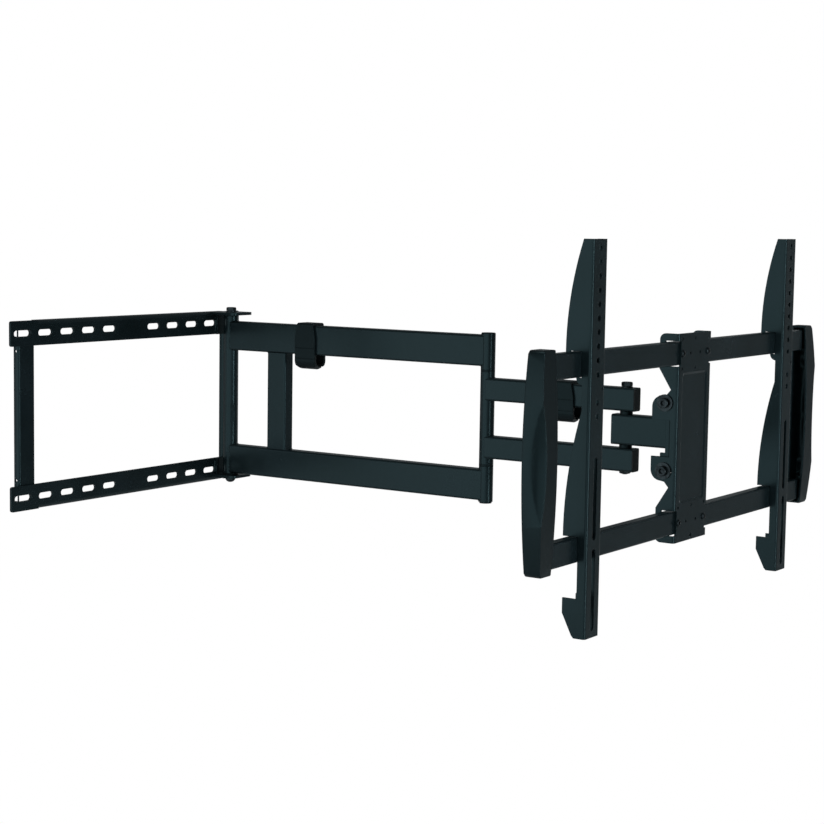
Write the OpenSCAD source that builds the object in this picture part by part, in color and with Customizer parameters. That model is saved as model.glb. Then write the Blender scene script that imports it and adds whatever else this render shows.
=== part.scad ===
// Full motion wall mount for a flat television.
// A slotted wall frame carries a long arm, a short arm, a swivel head and a tilting plate with two
// hook-on brackets. The origin is on the wall, at the middle of the frame: +X runs right along the
// wall, the room lies toward -Y, and +Z is up. The arms are drawn stretched straight out.

/* [Wall frame] */
// Width of the wall frame
wall_w = 476; // [440:1:560]
// Height of the wall frame
wall_h = 256; // [230:1:300]
// Height of each slotted wall rail
wall_rail_h = 34; // [28:1:40]
// Sheet thickness of the wall rails
wall_rail_t = 3.6; // [3:0.1:5]
// Distance from the wall to the front of the wall rails
standoff = 12.5; // [10:0.5:20]
// Width of each upright
upright_w = 31; // [26:1:40]
// Sheet thickness of the uprights
upright_t = 2.5; // [2:0.1:3.5]
// Distance from the frame's left end to the left upright
upright_inset = 17; // [10:1:30]
// Height of a lag bolt slot
slot_h = 8.6; // [6:0.1:10]
// Length of a lag bolt slot
slot_l = 26.5; // [16:0.5:30]
// Length of the longer slot at the left end
end_slot_l = 32.5; // [20:0.5:36]
// Distance between neighbouring slots
slot_pitch = 41.9; // [38:0.1:46]
// Distance from the frame's left end to the first slot's centre
first_slot = 22; // [20:0.5:30]
// Distance from the frame's left end to the right group's first slot
right_group = 282; // [270:1:300]

/* [Wall hinge] */
// Distance from the frame's right end to the wall pivot
pivot_inset = 45; // [40:1:60]
// Distance from the wall to the wall pivot
pivot_reach = 34.5; // [32:0.5:50]
// How far the lower hinge ear sits above the frame's bottom edge
low_ear_rise = 7; // [0:0.5:10]
// Width of a hinge ear
ear_w = 46; // [36:1:60]
// Sheet thickness of the hinge brackets
ear_t = 4; // [3:0.1:5]
// How far a hinge ear reaches past the pivot
ear_nose = 25; // [16:1:32]
// Corner radius of a hinge ear's nose
ear_r = 9; // [2:1:12]
// Width of the hinge bracket's leg on the wall rail
leg_w = 34; // [24:1:36]
// Outside diameter of the arm's hinge tube
barrel_d = 22; // [20:1:28]

/* [Arms] */
// Length of the long arm between its pivots
arm1_len = 455; // [380:1:520]
// Length of the short arm between its pivots
arm2_len = 215; // [180:1:240]
// Width of the arm tubes
arm_w = 20; // [18:1:26]
// Height of a long arm bar
bar1_h = 43; // [36:1:48]
// Height between the long arm's bars
window1_h = 143; // [132:1:150]
// Height of a short arm bar
bar2_h = 31; // [26:1:34]
// Height between the short arm's bars
window2_h = 49; // [46:1:54]
// Wall thickness of the arm tubes
arm_t = 2; // [1.5:0.1:3]
// Corner radius of the arm tubes
arm_r = 3; // [2.2:0.1:4]
// Depth of the long arm's strut
strut_d = 34; // [20:1:44]
// Distance from the wall pivot to the near side of the strut
strut_start = 77; // [50:1:120]
// How far the short arm runs past the head pivot
arm2_nose = 15; // [11:1:20]
// Outside diameter of the elbow tubes
elbow_d = 20; // [20:1:26]
// How far an elbow knuckle stands out past its bar, above and below
knuckle_lip = 2; // [1:0.5:4]
// How far an elbow knuckle reaches into the window
knuckle_drop = 4.5; // [2:0.5:8]

/* [Pivot fits] */
// Diameter of the wall and head pivot bolts
bolt_d = 8; // [6:1:10]
// Width across the flats of the bolt heads and nuts
bolt_flats = 13; // [13:1:15]
// Height of a hexagon bolt head
bolt_head_h = 5.5; // [4:0.5:7]
// Height of a lock nut
nut_h = 6; // [4:0.5:8]
// Thickness of the steel washers
washer_t = 1.6; // [1:0.1:2.5]
// Diameter of the steel washers
washer_d = 16; // [15.5:0.5:20]
// Diameter of the elbow pin
elbow_pin_d = 12; // [10:1:14]
// Wall thickness of the plastic bushes
bush_t = 2; // [1.5:0.1:3]
// Flange thickness of the wall pivot bushes
bush_flange_t = 1.5; // [1:0.1:3]
// Flange thickness of the elbow bushes
elbow_flange_t = 3; // [1:0.1:4]
// Length of a bush sleeve
bush_l = 18; // [10:1:22]
// Radial clearance of a bolt or pin in its bush
run_gap = 0.05; // [0.02:0.01:0.1]
// Radial clearance of a bolt in a plain hole
bolt_gap = 0.2; // [0.1:0.05:0.5]
// End play at each turning face
end_play = 0.2; // [0.1:0.05:0.3]

/* [Cable clips] */
// Wall thickness of a cable clip
clip_t = 3.6; // [2.5:0.1:5]
// Length of a cable clip along its bar
clip_l = 36; // [26:1:44]
// Length of a cable clip at its top
clip_top_l = 27; // [20:1:36]
// Depth of the cable trough below the bar
trough_h = 17.5; // [14:0.5:22]
// Distance from the wall pivot to the long arm's clip
clip1_at = 149; // [145:1:200]
// Distance from the elbow to the short arm's clip
clip2_at = 124; // [80:1:150]

/* [Swivel head] */
// Height of the swivel tube
swivel_h = 40; // [34:1:41]
// How far the swivel tube runs back past the head pivot
swivel_tail = 17; // [12:1:24]
// Distance from the head pivot to the tilt axis
tilt_reach = 79.5; // [72:0.5:100]
// Height of each tilt bolt above or below the tilt axis
tilt_bolt_z = 43.5; // [40:0.5:46]
// Diameter of the tilt bolts
tilt_bolt_d = 8; // [6:1:8]
// Diameter of the large washers on the tilt bolts
tilt_washer_d = 22; // [18:1:24]
// Thickness of the large washers on the tilt bolts
tilt_washer_t = 2; // [1.5:0.1:3]
// Head diameter of the tilt bolts
tilt_head_d = 13; // [12:0.5:14]
// Head height of the tilt bolts
tilt_head_h = 5; // [4:0.5:8]
// Largest tilt with the screen facing down
tilt_down = 10; // [6:1:10]
// Largest tilt with the screen facing up
tilt_up = 5; // [2:1:6]
// Sheet thickness of the yoke
yoke_t = 4; // [3:0.1:5]
// Height of the yoke's web
yoke_web_h = 74; // [60:1:74]
// Height of the gap between the yoke's ears
yoke_gap_h = 52; // [48:1:60]
// Height of the gap between the yoke's ears at the web
yoke_root_h = 42; // [41:0.5:46]
// Distance from the tilt axis to the front of the yoke
yoke_front = 5.4; // [5:0.1:5.6]
// Distance from the tilt axis to the back of the yoke's cheeks
yoke_back = 13; // [10:0.5:15]
// Side clearance between the yoke and the centre channel
yoke_gap = 0.4; // [0.3:0.05:1]

/* [Television plate] */
// Drop of the plate below the arms' middle
plate_drop = 2; // [0:0.5:6]
// Width of the centre channel
channel_w = 96; // [80:1:110]
// Height of the centre channel
channel_h = 268; // [256:1:300]
// Sheet thickness of the centre channel
channel_t = 3; // [2.5:0.1:4]
// Depth of the centre channel at the rails
channel_d = 27; // [24:0.5:32]
// Depth of the centre channel at its waists
waist_d = 10; // [9:0.5:14]
// Depth of the centre channel at its tilt lobes
lobe_d = 35.5; // [34:0.5:40]
// Height of the gap in the channel's sides that the swivel tube shows through
side_gap_h = 47; // [44:0.5:50]
// Distance from the tilt axis to the channel's front face
tilt_front = 17.5; // [17.5:0.5:20]
// Height of the television rails
tv_rail_h = 30; // [26:1:34]
// Depth of the television rails
tv_rail_d = 15; // [12:0.5:18]
// Wall thickness of the television rails
tv_rail_t = 1.8; // [1.5:0.1:2.5]
// Distance between the centre lines of the television rails
tv_rail_pitch = 217; // [205:1:222]
// Width of the plate over its end caps
plate_w = 794; // [700:1:900]
// Clearance round a television rail where it passes through a sheet
rail_gap = 1.2; // [0.5:0.1:2]
// Diameter of the rail screw heads
screw_head_d = 9; // [7:0.5:12]
// Diameter of the rail screws
screw_d = 6; // [4:0.5:6]
// Distance between the two screws of a rail
screw_pitch = 73; // [60:1:78]
// Distance between the two spare holes of a rail
spare_pitch = 28; // [20:1:40]
// Width of the pressed panel on the channel's front
panel_w = 72; // [50:1:78]
// Height of the pressed panel on the channel's front
panel_h = 168; // [120:1:172]
// Depth of the pressed panel
panel_depth = 1.2; // [0.8:0.1:1.4]

/* [End caps] */
// Height of an end cap
cap_h = 258; // [252:1:300]
// Width of an end cap at its ends
cap_end_w = 24.7; // [20:0.1:30]
// How far an end cap's outer side bows outward
cap_bow = 10.2; // [6:0.1:14]
// How far an end cap's face bulges forward
cap_bulge = 5.6; // [3:0.1:6.5]
// How far an end cap's face stands in front of the rails at its ends
cap_proud = 2.8; // [2:0.1:3.5]
// Radius of an end cap's outer corners
cap_r = 5; // [2:0.5:8]
// Wall thickness of an end cap
cap_t = 3; // [2:0.1:3.4]
// Half height of the scooped facet on an end cap
scoop_half = 70; // [50:1:80]
// Width of the scooped facet across the front
scoop_front = 10.8; // [8:0.1:14]
// Depth of the scooped facet down the side
scoop_side = 14; // [10:0.5:16]
// Radius of the scooped facet across its hollow
scoop_hollow_r = 30; // [20:1:60]
// Length of a cap's plug inside a rail
plug_in = 16; // [10:1:24]
// Length of a cap's plug left showing at a rail's end
plug_show = 4.5; // [2:0.5:8]
// Clearance round a cap's plug in a rail
plug_gap = 0.2; // [0.1:0.05:0.4]

/* [Television brackets] */
// Distance between the brackets
bracket_pitch = 557; // [400:1:600]
// Width of a bracket
bracket_w = 35; // [30:1:40]
// Sheet thickness of a bracket
bracket_t = 2.5; // [2:0.1:3]
// Distance from a bracket's front face to the front of the rails
bracket_reach = 12.3; // [11:0.1:16]
// Height of a bracket above the plate's middle
bracket_up = 253.5; // [240:0.5:270]
// Height of a bracket below the plate's middle
bracket_down = 213.5; // [200:0.5:230]
// Depth of a bracket at its top
bracket_top_d = 13; // [12.5:0.5:18]
// Depth of a bracket at the upper rail
hook_d = 33.5; // [32:0.5:38]
// Depth of a bracket above the lower rail
lower_d = 32; // [30:0.5:38]
// Depth of a bracket at its necks
neck_d = 11; // [8:0.5:12]
// How far the hook reaches down behind the upper rail
hook_drop = 14; // [8:1:20]
// Clearance between a bracket and the rails
hang_gap = 0.3; // [0.2:0.05:0.5]
// Distance from a bracket's top to its first round hole
first_hole = 10; // [8:0.5:16]
// Distance from the plate's middle down to the middle of the two long slots
slot_drop = 102.5; // [98:0.5:106]
// Depth of a bracket's foot
foot_d = 31; // [24:0.5:34]
// Height of the foot's upright edge
foot_h = 18; // [10:1:22]
// Diameter of the television screw holes
vesa_hole_d = 7.5; // [6:0.5:8.5]
// Distance between neighbouring television screw holes
vesa_hole_pitch = 16.3; // [14:0.1:20]
// Width of the long television screw slots
vesa_slot_w = 8.4; // [6:0.1:9]
// Length of the long television screw slots
vesa_slot_l = 98; // [60:1:100]
// Distance between the centres of the long slots
vesa_slot_pitch = 107.5; // [102:0.5:110]

/* [Hidden] */
$fn = 48;
steel = "#262c30";
steel_dark = "#1c2124";
fastener = "#14181a";
plastic = "#1a1d1f";

// Places of the pivots
pivot_x = wall_w / 2 - pivot_inset;
pivot_y = -pivot_reach;
elbow_y = pivot_y - arm1_len;
head_y = elbow_y - arm2_len;
tilt_y = head_y - tilt_reach;
plate_z = -plate_drop;

// Wall frame
rail_front_y = -standoff;
rail_back_y = rail_front_y + wall_rail_t;
wall_rail_z = (wall_h - wall_rail_h) / 2;
slots_left = 5;
slots_right = 4;
lip_clear = 2;
frame_corner_r = 3;

// Wall hinge
ear_top_z = wall_h / 2;
ear_low_z = ear_top_z - low_ear_rise;
ear_in_z = ear_top_z - ear_t;
barrel_top_z = ear_in_z - bush_flange_t - end_play;
barrel_low_z = barrel_top_z - low_ear_rise;
wall_bush_d = bolt_d + 2 * run_gap + 2 * bush_t;

// Arms
bar1_z = (window1_h + bar1_h) / 2;
bar2_z = (window2_h + bar2_h) / 2;
knuckle_in_z = window1_h / 2 - knuckle_drop;
knuckle_out_z = window1_h / 2 + bar1_h + knuckle_lip;
elbow_tube_z = knuckle_in_z - elbow_flange_t - end_play;
elbow_bush_d = elbow_pin_d + 2 * run_gap + 2 * bush_t;
elbow_cap_t = 2;
plug_t = 3;
cope_back = 2;
lug_w = 6;
lug_h = 26;
lug_out = 1.5;
lug_drop = 24;
lug_turn = 54;

// Swivel head
neck_d_head = 17;
neck_t = window2_h / 2 - swivel_h / 2 - end_play;
channel_in_w = channel_w - 2 * channel_t;
yoke_w = channel_in_w - 2 * yoke_gap;
yoke_web_y = tilt_y - yoke_t;
weld_nut_d = tilt_bolt_d + 2.8;
weld_nut_l = 7;
arc_gap = 0.3;

// Television plate
channel_front_y = tilt_y - tilt_front;
rail_y = channel_front_y + channel_t;
upper_rail_z = plate_z + tv_rail_pitch / 2;
lower_rail_z = plate_z - tv_rail_pitch / 2;
tv_rail_l = plate_w - 2 * (cap_bow + cap_end_w + plug_show);
window_h = tv_rail_h + 2 * rail_gap;
small_hole_d = 4;
low_hole_d = 5.5;
screw_head_h = 2.4;
bend_r = 1;

// Brackets
bracket_y = rail_y - bracket_reach;
rail_back_d = bracket_reach + tv_rail_d;

// A rectangle with round corners, centred
module rounded_rect(w, h, r) {
    square([w - 2 * r, h], center = true);
    square([w, h - 2 * r], center = true);
    for (sx = [-1, 1], sz = [-1, 1])
        translate([sx * (w / 2 - r), sz * (h / 2 - r)]) circle(r);
}

// A rectangular tube along Y: width w, height h, wall t, from y0 down to y1
module tube_along_y(w, h, t, r, y0, y1) {
    translate([0, y0, 0]) rotate([90, 0, 0]) linear_extrude(y0 - y1) difference() {
        rounded_rect(w, h, r);
        rounded_rect(w - 2 * t, h - 2 * t, r - t + 0.5);
    }
}

// A rectangular tube along X, from x0 to x1, open at both ends
module tube_along_x(d, h, t, r, x0, x1) {
    translate([x0, 0, 0]) rotate([90, 0, 90]) linear_extrude(x1 - x0) difference() {
        rounded_rect(d, h, r);
        rounded_rect(d - 2 * t, h - 2 * t, r - t + 0.5);
    }
}

// The outline of a U-channel that opens toward +Y, with its web's outer face on y = 0
module channel_outline(w, d, t, r_in) {
    r_out = r_in + t;
    difference() {
        union() {
            translate([-w / 2 + r_out, 0]) square([w - 2 * r_out, d]);
            translate([-w / 2, r_out]) square([w, d - r_out]);
            for (s = [-1, 1]) translate([s * (w / 2 - r_out), r_out]) circle(r_out);
        }
        translate([-w / 2 + t + r_in, t]) square([w - 2 * (t + r_in), d]);
        translate([-w / 2 + t, t + r_in]) square([w - 2 * t, d]);
        for (s = [-1, 1]) translate([s * (w / 2 - t - r_in), t + r_in]) circle(r_in);
    }
}

// A slot along X that cuts through in Y, centred
module slot_x(l, h, depth) {
    cube([l - h, depth, h], center = true);
    for (s = [-1, 1]) translate([s * (l - h) / 2, 0, 0])
        rotate([90, 0, 0]) cylinder(d = h, h = depth, center = true);
}

// A slot along Z that cuts through in Y, centred
module slot_z(l, w, depth) {
    rotate([0, 90, 0]) slot_x(l, w, depth);
}

// A round hole along Y, centred
module hole_y(d, depth) {
    rotate([90, 0, 0]) cylinder(d = d, h = depth, center = true);
}

// A sleeve with a flange on its top: the flange's lower face is at z = 0
module flanged_bush(sleeve_d, flange_d, flange_t, sleeve_l, bore_d) {
    difference() {
        union() {
            cylinder(d = flange_d, h = flange_t);
            translate([0, 0, -sleeve_l]) cylinder(d = sleeve_d, h = sleeve_l + flange_t / 2);
        }
        translate([0, 0, -sleeve_l - 1]) cylinder(d = bore_d, h = sleeve_l + flange_t + 2);
    }
}

// A hexagon prism by its width across the flats
module hexagon(flats, h) {
    cylinder(d = flats / cos(30), h = h, $fn = 6);
}

// ---- Wall frame ----

// The slots of one wall rail, along the frame at height z
module wall_slots(z) {
    translate([-wall_w / 2, rail_front_y, z]) {
        translate([first_slot, 0, 0]) slot_x(end_slot_l, slot_h, 4 * standoff);
        for (i = [1 : slots_left - 1])
            translate([first_slot + i * slot_pitch, 0, 0]) slot_x(slot_l, slot_h, 4 * standoff);
        for (i = [0 : slots_right - 1])
            translate([right_group + i * slot_pitch, 0, 0]) slot_x(slot_l, slot_h, 4 * standoff);
    }
}

// One slotted rail with its outer edge folded back to the wall between the uprights
module wall_rail() {
    lip_x = -wall_w / 2 + upright_inset + upright_w + lip_clear;
    lip_l = wall_w / 2 - upright_w - lip_clear - lip_x;
    bend = 2 + wall_rail_t;
    color(steel) difference() {
        union() {
            difference() {
                translate([0, rail_back_y, wall_rail_z]) rotate([90, 0, 0])
                    linear_extrude(wall_rail_t) rounded_rect(wall_w, wall_rail_h, frame_corner_r);
                translate([lip_x, rail_front_y - 1, wall_h / 2 - bend])
                    cube([lip_l, wall_rail_t + 2, bend + 1]);
            }
            translate([lip_x, 0, 0]) rotate([90, 0, 90]) linear_extrude(lip_l)
                difference() {
                    union() {
                        translate([rail_front_y, wall_h / 2 - bend - 2]) square([wall_rail_t, 2]);
                        translate([rail_front_y + bend, wall_h / 2 - wall_rail_t])
                            square([standoff - bend, wall_rail_t]);
                        translate([rail_front_y + bend, wall_h / 2 - bend]) intersection() {
                            circle(bend);
                            translate([-bend, 0]) square(bend);
                        }
                    }
                    translate([rail_front_y + bend, wall_h / 2 - bend]) circle(bend - wall_rail_t);
                }
        }
        wall_slots(wall_rail_z);
    }
}

module wall_rail_top() {
    wall_rail();
}

module wall_rail_bottom() {
    mirror([0, 0, 1]) wall_rail();
}

// One upright: a shallow channel between the rails and the wall, slotted like the rails
module wall_upright(outer) {
    upright_d = -rail_back_y;
    side_hole_d = 4;
    side_hole_z = wall_h / 2 - wall_rail_h - 7;
    color(steel) difference() {
        translate([0, rail_back_y, -wall_h / 2 + 1]) linear_extrude(wall_h - 2)
            channel_outline(upright_w, upright_d, upright_t, 1.5);
        for (s = [-1, 1]) translate([outer * upright_w / 2, -upright_d / 2 + 1, s * side_hole_z])
            rotate([0, 90, 0]) cylinder(d = side_hole_d, h = 3 * upright_t, center = true);
    }
}

module wall_upright_left() {
    difference() {
        translate([-wall_w / 2 + upright_inset + upright_w / 2, 0, 0]) wall_upright(-1);
        for (s = [-1, 1]) wall_slots(s * wall_rail_z);
    }
}

module wall_upright_right() {
    difference() {
        translate([wall_w / 2 - upright_w / 2, 0, 0]) wall_upright(1);
        for (s = [-1, 1]) wall_slots(s * wall_rail_z);
    }
}

// ---- Wall hinge ----

// A hinge bracket: a leg on the rail's front and an ear folded out over the pivot, moved in by rise
module hinge_bracket(rise) {
    ear_y = pivot_y - ear_nose;
    color(steel) difference() {
        union() {
            translate([0, 0, ear_in_z - rise]) linear_extrude(ear_t) {
                translate([pivot_x - ear_w / 2, ear_y + ear_r])
                    square([ear_w, rail_front_y - ear_y - ear_r]);
                translate([pivot_x - ear_w / 2 + ear_r, ear_y]) square([ear_w - 2 * ear_r, ear_r + 1]);
                for (s = [-1, 1]) translate([pivot_x + s * (ear_w / 2 - ear_r), ear_y + ear_r])
                    circle(ear_r);
            }
            translate([pivot_x + ear_w / 2 - leg_w, rail_front_y - ear_t, wall_h / 2 - wall_rail_h])
                cube([leg_w, ear_t, wall_rail_h - ear_t / 2 - rise]);
        }
        translate([pivot_x, pivot_y, ear_in_z - rise - 1])
            cylinder(r = bolt_d / 2 + bolt_gap, h = ear_t + 2);
    }
}

module hinge_bracket_top() {
    hinge_bracket(0);
}

module hinge_bracket_bottom() {
    mirror([0, 0, 1]) hinge_bracket(low_ear_rise);
}

module wall_pivot_bolt() {
    color(fastener) translate([pivot_x, pivot_y, 0]) {
        translate([0, 0, ear_top_z + washer_t]) hexagon(bolt_flats, bolt_head_h);
        translate([0, 0, -ear_low_z - washer_t - nut_h - 1])
            cylinder(d = bolt_d, h = ear_low_z + ear_top_z + 2 * washer_t + nut_h + 2);
    }
}

module wall_pivot_nut() {
    color(fastener) translate([pivot_x, pivot_y, -ear_low_z - washer_t - nut_h]) difference() {
        hexagon(bolt_flats, nut_h);
        translate([0, 0, -1]) cylinder(d = bolt_d, h = nut_h + 2);
    }
}

module wall_pivot_washers() {
    color(fastener) for (z = [ear_top_z, -ear_low_z - washer_t])
        translate([pivot_x, pivot_y, z]) difference() {
            cylinder(d = washer_d, h = washer_t);
            translate([0, 0, -1]) cylinder(r = bolt_d / 2 + bolt_gap, h = washer_t + 2);
        }
}

// ---- Long arm ----

// The hinge tube, with a small lug near its middle
module arm1_hinge_tube() {
    barrel_h = barrel_low_z + barrel_top_z;
    color(steel) translate([pivot_x, pivot_y, -barrel_low_z]) difference() {
        union() {
            cylinder(d = barrel_d, h = barrel_h);
            translate([0, 0, barrel_low_z - lug_drop]) rotate([0, 0, lug_turn])
                translate([-barrel_d / 2 - lug_out, -lug_w / 2, -lug_h / 2])
                    cube([barrel_d / 2, lug_w, lug_h]);
        }
        translate([0, 0, -1]) cylinder(d = wall_bush_d, h = barrel_h + 2);
    }
}

// A long arm bar, coped to the hinge tube and to the elbow knuckle
module arm1_bar(z) {
    color(steel) difference() {
        translate([pivot_x, 0, z])
            tube_along_y(arm_w, bar1_h, arm_t, arm_r, pivot_y, elbow_y + cope_back);
        translate([pivot_x, pivot_y, z]) cylinder(d = barrel_d, h = 2 * bar1_h, center = true);
        translate([pivot_x, elbow_y, z]) cylinder(d = elbow_d, h = 2 * bar1_h, center = true);
        translate([pivot_x - arm_w, pivot_y, z - bar1_h]) cube([2 * arm_w, barrel_d, 2 * bar1_h]);
    }
}

module arm1_top_bar() {
    arm1_bar(bar1_z);
}

module arm1_bottom_bar() {
    arm1_bar(-bar1_z);
}

module arm1_strut() {
    strut_y = pivot_y - strut_start - strut_d / 2;
    color(steel) translate([pivot_x, strut_y, -window1_h / 2]) linear_extrude(window1_h)
        difference() {
            rounded_rect(arm_w, strut_d, arm_r);
            rounded_rect(arm_w - 2 * arm_t, strut_d - 2 * arm_t, arm_r - arm_t + 0.5);
        }
}

// A knuckle of the elbow, on the long arm
module arm1_knuckle() {
    color(steel) translate([pivot_x, elbow_y, knuckle_in_z]) difference() {
        cylinder(d = elbow_d, h = knuckle_out_z - knuckle_in_z);
        translate([0, 0, -1]) cylinder(d = elbow_pin_d, h = knuckle_out_z - knuckle_in_z + 2);
    }
}

module arm1_knuckle_top() {
    arm1_knuckle();
}

module arm1_knuckle_bottom() {
    mirror([0, 0, 1]) arm1_knuckle();
}

module wall_pivot_bushes() {
    color(plastic) for (s = [0, 1]) mirror([0, 0, s])
        translate([pivot_x, pivot_y, s == 0 ? barrel_top_z : barrel_low_z])
            flanged_bush(wall_bush_d, barrel_d, bush_flange_t, bush_l, bolt_d + 2 * run_gap);
}

module elbow_pin() {
    color(fastener) translate([pivot_x, elbow_y, -knuckle_out_z])
        cylinder(d = elbow_pin_d, h = 2 * knuckle_out_z);
}

module elbow_caps() {
    color(plastic) {
        translate([pivot_x, elbow_y, knuckle_out_z]) cylinder(d = elbow_d - 1, h = elbow_cap_t / 2);
        translate([pivot_x, elbow_y, -knuckle_out_z - elbow_cap_t])
            cylinder(d = elbow_d - 3, h = elbow_cap_t);
    }
}

// A cable clip over a bar of height bar_h: the clip's middle is at y = 0, the bar's at z = 0.
// The trough below the bar has a slit on its far side, through which a cable is pressed in
module cable_clip(bar_h) {
    w = arm_w + 2 * clip_t;
    top = bar_h / 2 + clip_t;
    low = -bar_h / 2 - trough_h - clip_t;
    round_z = low + w / 2;
    lid_r = 3;
    foot = 5.5;
    trough_w = arm_w - 1;
    slit = 2.5;
    slit_turn = 38;
    taper_z = bar_h / 2 - 18;
    groove = 0.8;
    color(plastic) intersection() {
        difference() {
            union() {
                translate([-w / 2, -clip_l / 2, round_z]) cube([w, clip_l, top - lid_r - round_z]);
                translate([-w / 2 + lid_r, -clip_l / 2, 0]) cube([w - 2 * lid_r, clip_l, top]);
                for (s = [-1, 1]) translate([s * (w / 2 - lid_r), 0, top - lid_r])
                    rotate([90, 0, 0]) cylinder(r = lid_r, h = clip_l, center = true);
                translate([0, 0, round_z]) rotate([90, 0, 0]) cylinder(d = w, h = clip_l, center = true);
            }
            cube([arm_w, 2 * clip_l, bar_h], center = true);
            translate([-trough_w / 2, -clip_l, round_z]) cube([trough_w, 2 * clip_l, -round_z]);
            translate([0, 0, round_z]) rotate([90, 0, 0])
                cylinder(d = trough_w, h = 2 * clip_l, center = true);
            translate([0, 0, round_z]) rotate([0, -slit_turn, 0])
                translate([-slit / 2, -clip_l, -w]) cube([slit, 2 * clip_l, w]);
            for (z = [-bar_h / 2 - 5, -bar_h / 2 + 10], s = [-1, 1])
                translate([s * w / 2, 0, z]) cube([groove, 2 * clip_l, groove], center = true);
        }
        rotate([90, 0, 90]) linear_extrude(2 * w, center = true) polygon([
            [-clip_top_l / 2, top + 1], [clip_top_l / 2, top + 1], [clip_l / 2, taper_z],
            [clip_l / 2, low + foot], [clip_l / 2 - foot, low - 0.5], [-clip_l / 2 + foot, low - 0.5],
            [-clip_l / 2, low + foot], [-clip_l / 2, taper_z]
        ]);
    }
}

module cable_clip_arm1() {
    translate([pivot_x, pivot_y - clip1_at, bar1_z]) cable_clip(bar1_h);
}

// ---- Short arm ----

module elbow_tube() {
    color(steel) translate([pivot_x, elbow_y, -elbow_tube_z]) difference() {
        cylinder(d = elbow_d, h = 2 * elbow_tube_z);
        translate([0, 0, -1]) cylinder(d = elbow_bush_d, h = 2 * elbow_tube_z + 2);
    }
}

module elbow_bushes() {
    color(plastic) for (s = [0, 1]) mirror([0, 0, s]) translate([pivot_x, elbow_y, elbow_tube_z])
        flanged_bush(elbow_bush_d, elbow_d, elbow_flange_t, bush_l, elbow_pin_d + 2 * run_gap);
}

// A short arm bar, coped to the elbow tube and bored for the head pivot bolt
module arm2_bar(z) {
    end_y = head_y - arm2_nose;
    color(steel) difference() {
        translate([pivot_x, 0, z])
            tube_along_y(arm_w, bar2_h, arm_t, arm_r, elbow_y - cope_back, end_y);
        translate([pivot_x, elbow_y, z]) cylinder(d = elbow_d, h = 2 * bar2_h, center = true);
        translate([pivot_x, head_y, z]) cylinder(r = bolt_d / 2 + bolt_gap, h = 2 * bar2_h, center = true);
    }
}

module arm2_top_bar() {
    arm2_bar(bar2_z);
}

module arm2_bottom_bar() {
    arm2_bar(-bar2_z);
}

module arm2_end_plugs() {
    color(plastic) for (s = [-1, 1])
        translate([pivot_x, head_y - arm2_nose + plug_t, s * bar2_z]) rotate([90, 0, 0])
            linear_extrude(plug_t)
                rounded_rect(arm_w - 2 * arm_t, bar2_h - 2 * arm_t, arm_r - arm_t + 0.5);
}

module cable_clip_arm2() {
    translate([pivot_x, elbow_y - clip2_at, bar2_z]) cable_clip(bar2_h);
}

// The head pivot bolt: a flanged hexagon head above, a thin nut below
module head_pivot_bolt() {
    top_z = window2_h / 2 + bar2_h;
    color(fastener) translate([pivot_x, head_y, 0]) {
        translate([0, 0, top_z]) cylinder(d = washer_d, h = washer_t);
        translate([0, 0, top_z + washer_t / 2]) hexagon(bolt_flats, bolt_head_h + washer_t / 2);
        translate([0, 0, -top_z - nut_h / 2 - 1])
            cylinder(d = bolt_d, h = 2 * top_z + nut_h / 2 + 1 + washer_t / 2);
    }
}

module head_pivot_nut() {
    top_z = window2_h / 2 + bar2_h;
    color(fastener) translate([pivot_x, head_y, -top_z - nut_h / 2]) difference() {
        hexagon(bolt_flats, nut_h / 2);
        translate([0, 0, -1]) cylinder(d = bolt_d, h = nut_h);
    }
}

// ---- Swivel head ----

module swivel_tube() {
    color(steel) difference() {
        translate([pivot_x, 0, 0])
            tube_along_y(arm_w, swivel_h, arm_t, arm_r, head_y + swivel_tail, tilt_y);
        translate([pivot_x, head_y, 0]) cylinder(d = wall_bush_d, h = 2 * swivel_h, center = true);
    }
}

module head_bushes() {
    color(plastic) for (s = [0, 1]) mirror([0, 0, s]) translate([pivot_x, head_y, swivel_h / 2])
        flanged_bush(wall_bush_d, neck_d_head, neck_t, bush_l, bolt_d + 2 * run_gap);
}

// The yoke: a web across the end of the swivel tube and two ears inside each side of the channel
module tilt_yoke() {
    cheek_end = tilt_bolt_z + 9;
    root_d = 7;
    color(steel_dark) difference() {
        union() {
            translate([pivot_x, yoke_web_y + yoke_t / 2, 0])
                cube([yoke_w - yoke_t, yoke_t, yoke_web_h], center = true);
            for (s = [-1, 1]) translate([pivot_x + s * (yoke_w / 2 - yoke_t / 2), tilt_y, 0])
                rotate([90, 0, 90]) linear_extrude(yoke_t, center = true)
                    translate([(yoke_back - yoke_front) / 2, 0])
                        rounded_rect(yoke_back + yoke_front, 2 * cheek_end, 5);
        }
        for (s = [-1, 1]) translate([pivot_x, tilt_y, s * tilt_bolt_z]) rotate([0, 90, 0])
            cylinder(d = tilt_bolt_d, h = 2 * yoke_w, center = true);
        translate([pivot_x - yoke_w, tilt_y, -yoke_root_h / 2])
            cube([2 * yoke_w, yoke_back + 1, yoke_root_h]);
        translate([pivot_x - yoke_w, tilt_y + root_d, -yoke_gap_h / 2])
            cube([2 * yoke_w, yoke_back + 1, yoke_gap_h]);
    }
}

// One copy of a fastener at each tilt bolt, its axis pointing outward from the channel's side
module at_tilt_bolts(x) {
    for (side = [0, 1], s = [-1, 1])
        translate([pivot_x, tilt_y, s * tilt_bolt_z]) mirror([side, 0, 0])
            translate([x, 0, 0]) rotate([0, 90, 0]) children();
}

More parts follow.
